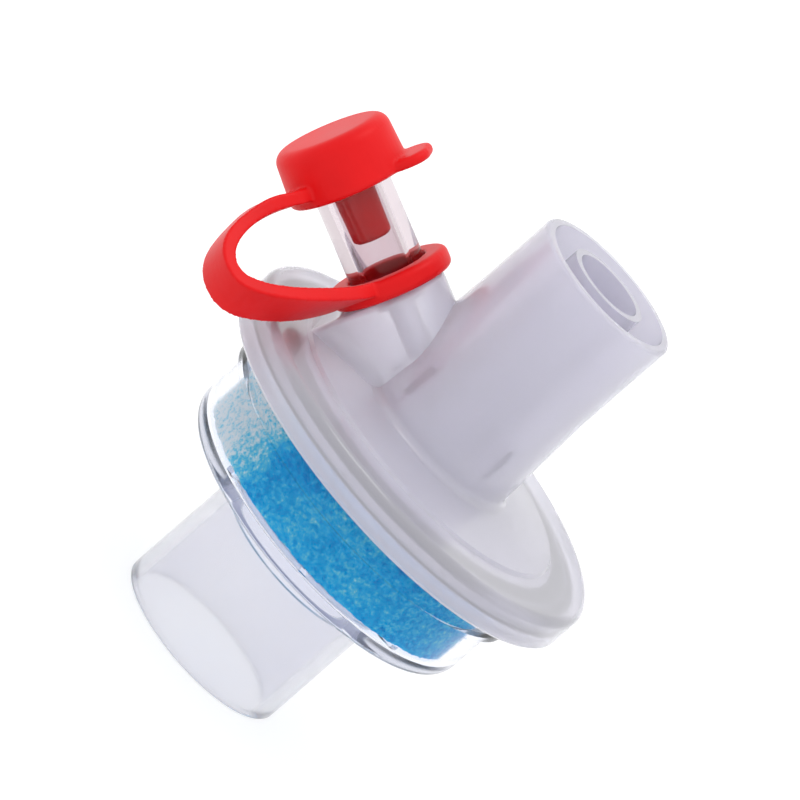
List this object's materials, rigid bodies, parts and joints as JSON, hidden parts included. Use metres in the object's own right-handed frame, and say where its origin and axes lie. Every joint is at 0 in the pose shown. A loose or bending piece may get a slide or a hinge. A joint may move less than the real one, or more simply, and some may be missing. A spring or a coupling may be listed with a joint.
{
  "type": "breathing circuit filter",
  "caption": "Breathing circuit filter: clear chamber with blue exchange foam, frosted shell with a male cone, and a side sampling port closed by a tethered red cap.",
  "frame": {"origin": "centre of the patient socket's end face, on the main axis", "axes": "+Z along the main axis towards the machine cone, +X towards the side the sampling port leans out to"},
  "size_m": [0.0476, 0.0404, 0.049],
  "materials": {
    "clear_plastic": "clear, polished",
    "frosted_plastic": "milky translucent, smooth",
    "blue_foam": "open-cell foam",
    "filter_sheet": "nonwoven",
    "red_plastic": "soft moulded, satin"
  },
  "bodies": {
    "housing": {"rear_housing": "clear_plastic", "front_housing": "frosted_plastic", "hme_foam": "blue_foam", "filter_media": "filter_sheet"},
    "tether": {"tether": "red_plastic"},
    "cap": {"cap": "red_plastic"}
  },
  "joints": [
    {"name": "tether_swivel", "type": "hinge", "parent": "housing", "child": "tether", "pos_m": [0.0137, 0, 0.0353], "axis": [0.9397, 0, 0.342], "range_deg": [0, 240]},
    {"name": "cap_pull", "type": "slide", "parent": "tether", "child": "cap", "axis": [0.9397, 0, 0.342], "range_m": [0, 0.01]}
  ]
}
